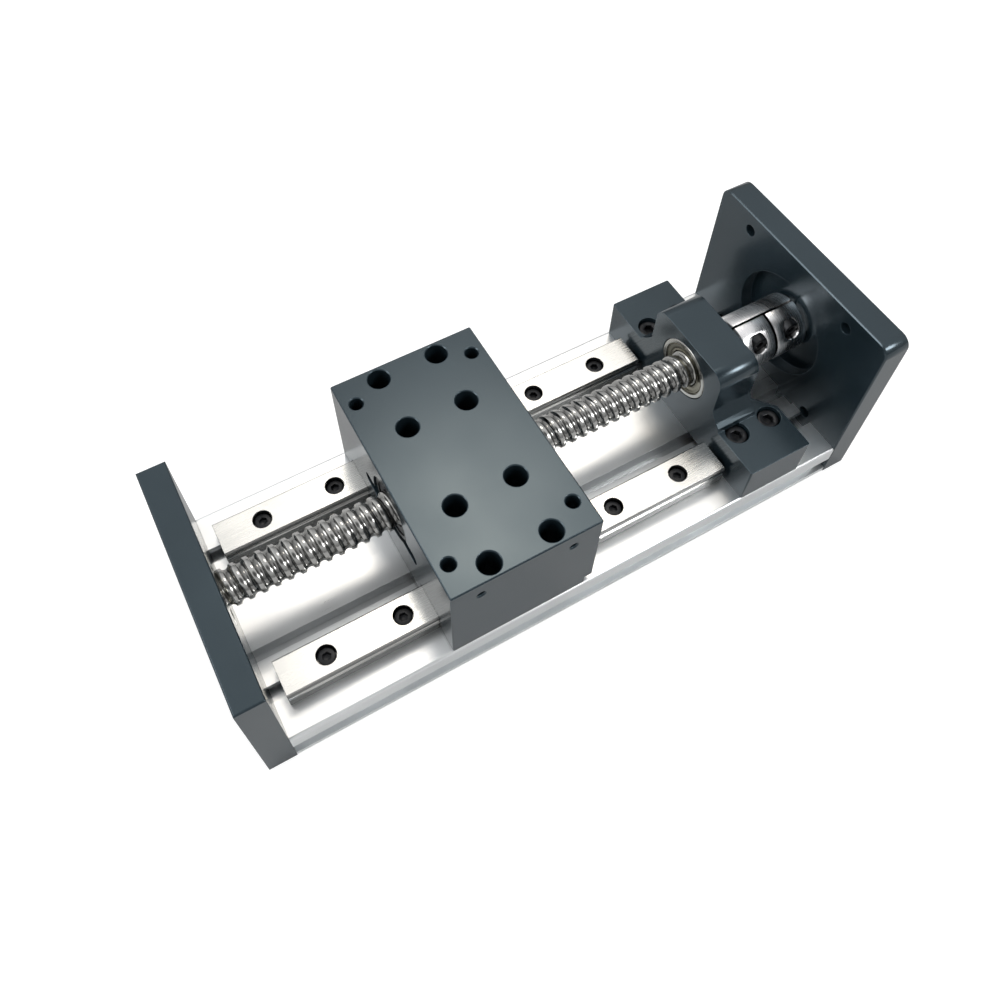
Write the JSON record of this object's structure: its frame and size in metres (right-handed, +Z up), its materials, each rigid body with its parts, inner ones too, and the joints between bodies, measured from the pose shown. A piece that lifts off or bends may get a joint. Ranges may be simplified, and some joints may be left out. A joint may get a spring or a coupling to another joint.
{
  "type": "ball screw sliding table",
  "caption": "Low linear stage: an extruded base with profile rails, a ball screw between end plates and a rectangular table on carriages, ready for a flange motor.",
  "frame": {"origin": "middle of the base's underside, between the outer faces of the end plates", "axes": "+X along the screw towards the motor plate, +Y across the rails, +Z up from the base to the table"},
  "size_m": [0.218, 0.08, 0.07],
  "materials": {
    "base_aluminium": "clear anodised, brushed along its length",
    "black_anodised": "black anodised, satin",
    "black_screws": "black oxide",
    "rail_steel": "ground steel",
    "zinc_steel": "zinc plated",
    "screw_steel": "rolled and polished steel",
    "bearing_steel": "polished steel",
    "shield_steel": "pressed steel, warm tint",
    "coupling_aluminium": "turned and polished",
    "cap_plastic": "moulded",
    "wiper_plastic": "moulded",
    "seal_rubber": "moulded rubber"
  },
  "bodies": {
    "base": {"base_profile": "base_aluminium", "idler_end_plate": "black_anodised", "motor_end_plate": "black_anodised", "idler_plate_screws": "black_screws", "motor_plate_screws": "black_screws", "rail_near": "rail_steel", "rail_far": "rail_steel", "rail_screws": "black_screws", "rail_nut_strips": "zinc_steel", "support_block": "black_anodised", "support_screws": "black_screws", "support_nut_strips": "zinc_steel", "idler_bearing_outer_ring": "bearing_steel", "idler_bearing_shields": "shield_steel", "support_bearing_outer_rings": "bearing_steel", "support_bearing_shields": "shield_steel"},
    "table": {"table_block": "black_anodised", "table_skirt": "black_anodised", "carriage_near": "rail_steel", "carriage_far": "rail_steel", "carriage_end_caps": "cap_plastic", "carriage_seals": "seal_rubber", "carriage_screws": "black_screws", "ball_nut": "screw_steel", "nut_wipers": "wiper_plastic", "nut_set_screws": "black_screws"},
    "screw": {"ball_screw": "screw_steel", "lock_nut": "zinc_steel", "coupling_body": "coupling_aluminium", "coupling_screws": "black_screws", "idler_bearing_inner_ring": "bearing_steel", "support_bearing_inner_rings": "bearing_steel"}
  },
  "joints": [
    {"name": "table_slide", "type": "slide", "parent": "base", "child": "table", "axis": [1, 0, 0], "range_m": [-0.046, 0.054]},
    {"name": "screw_turn", "type": "hinge", "parent": "base", "child": "screw", "pos_m": [0, 0, 0.04], "axis": [1, 0, 0], "range_deg": [-4866, 4146]}
  ],
  "couplings": [
    {"joint": "screw_turn", "follows": "table_slide", "rad_per_m": -1570.8}
  ]
}
